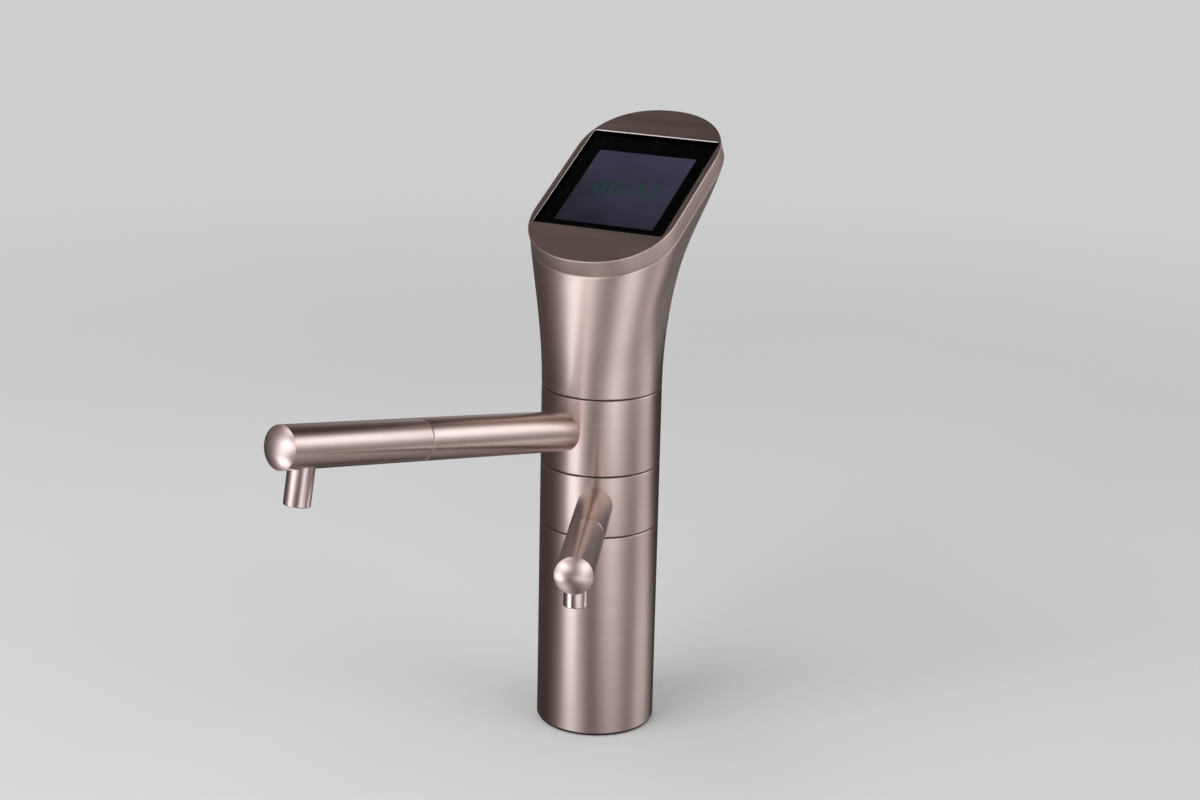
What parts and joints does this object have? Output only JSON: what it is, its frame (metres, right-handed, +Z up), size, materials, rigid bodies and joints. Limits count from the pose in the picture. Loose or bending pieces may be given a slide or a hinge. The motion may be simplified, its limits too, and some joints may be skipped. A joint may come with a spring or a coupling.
{
  "type": "filter water faucet",
  "caption": "Round deck-mounted filter water faucet with two swivelling spouts and a flared head that carries a slanted touch display.",
  "frame": {"origin": "where the column's axis meets the top of the deck", "axes": "+Z up along the column, -Y towards the user, +X to the user's right"},
  "size_m": [0.1104, 0.2654, 0.3599],
  "materials": {
    "satin_nickel": "fine circumferential satin",
    "dark_nickel": "brushed, darker face",
    "brass": "machined",
    "steel": "plain",
    "black_rubber": "matte",
    "black_plastic": "matte",
    "white_polymer": "matte",
    "black_glass": "polished",
    "screen": "smooth",
    "circuit_board": "satin"
  },
  "bodies": {
    "column": {"deck_gasket": "black_rubber", "base_tube": "satin_nickel", "base_plug": "brass", "threaded_shank": "brass", "deck_rubber_washer": "black_rubber", "deck_steel_washer": "steel", "deck_nut": "brass", "shank_grommet": "black_rubber", "upper_inlet_tube": "steel", "lower_inlet_tube": "steel", "upper_inlet_tail": "brass", "lower_inlet_tail": "brass", "stem": "brass", "upper_o_rings": "black_rubber", "lower_o_rings": "black_rubber", "base_slip_washer": "black_plastic", "middle_slip_washer": "black_plastic", "head_slip_washer": "black_plastic", "retaining_nut": "brass", "head_shell": "satin_nickel", "head_set_screw": "steel", "head_cover": "dark_nickel", "cover_screws": "steel", "display_glass": "black_glass", "glass_gasket": "black_rubber", "lcd_panel": "screen", "display_carrier": "black_plastic", "carrier_screws": "steel", "control_board": "circuit_board", "board_screws": "steel", "cable_socket": "white_polymer"},
    "upper_spout": {"upper_ring": "satin_nickel", "upper_root_tube": "satin_nickel", "upper_coupling": "brass", "upper_coupling_seal": "black_rubber", "upper_front_tube": "satin_nickel", "upper_end_cap": "satin_nickel", "upper_nozzle": "satin_nickel", "upper_flow_disc": "white_polymer"},
    "lower_spout": {"lower_ring": "satin_nickel", "lower_root_tube": "satin_nickel", "lower_coupling": "brass", "lower_coupling_seal": "black_rubber", "lower_front_tube": "satin_nickel", "lower_end_cap": "satin_nickel", "lower_nozzle": "satin_nickel", "lower_flow_disc": "white_polymer"}
  },
  "joints": [
    {"name": "upper_swivel", "type": "hinge", "parent": "column", "child": "upper_spout", "pos_m": [0, 0, 0.1425], "axis": [0, 0, 1], "continuous": true},
    {"name": "lower_swivel", "type": "hinge", "parent": "column", "child": "lower_spout", "pos_m": [0, 0, 0.1105], "axis": [0, 0, 1], "continuous": true}
  ]
}
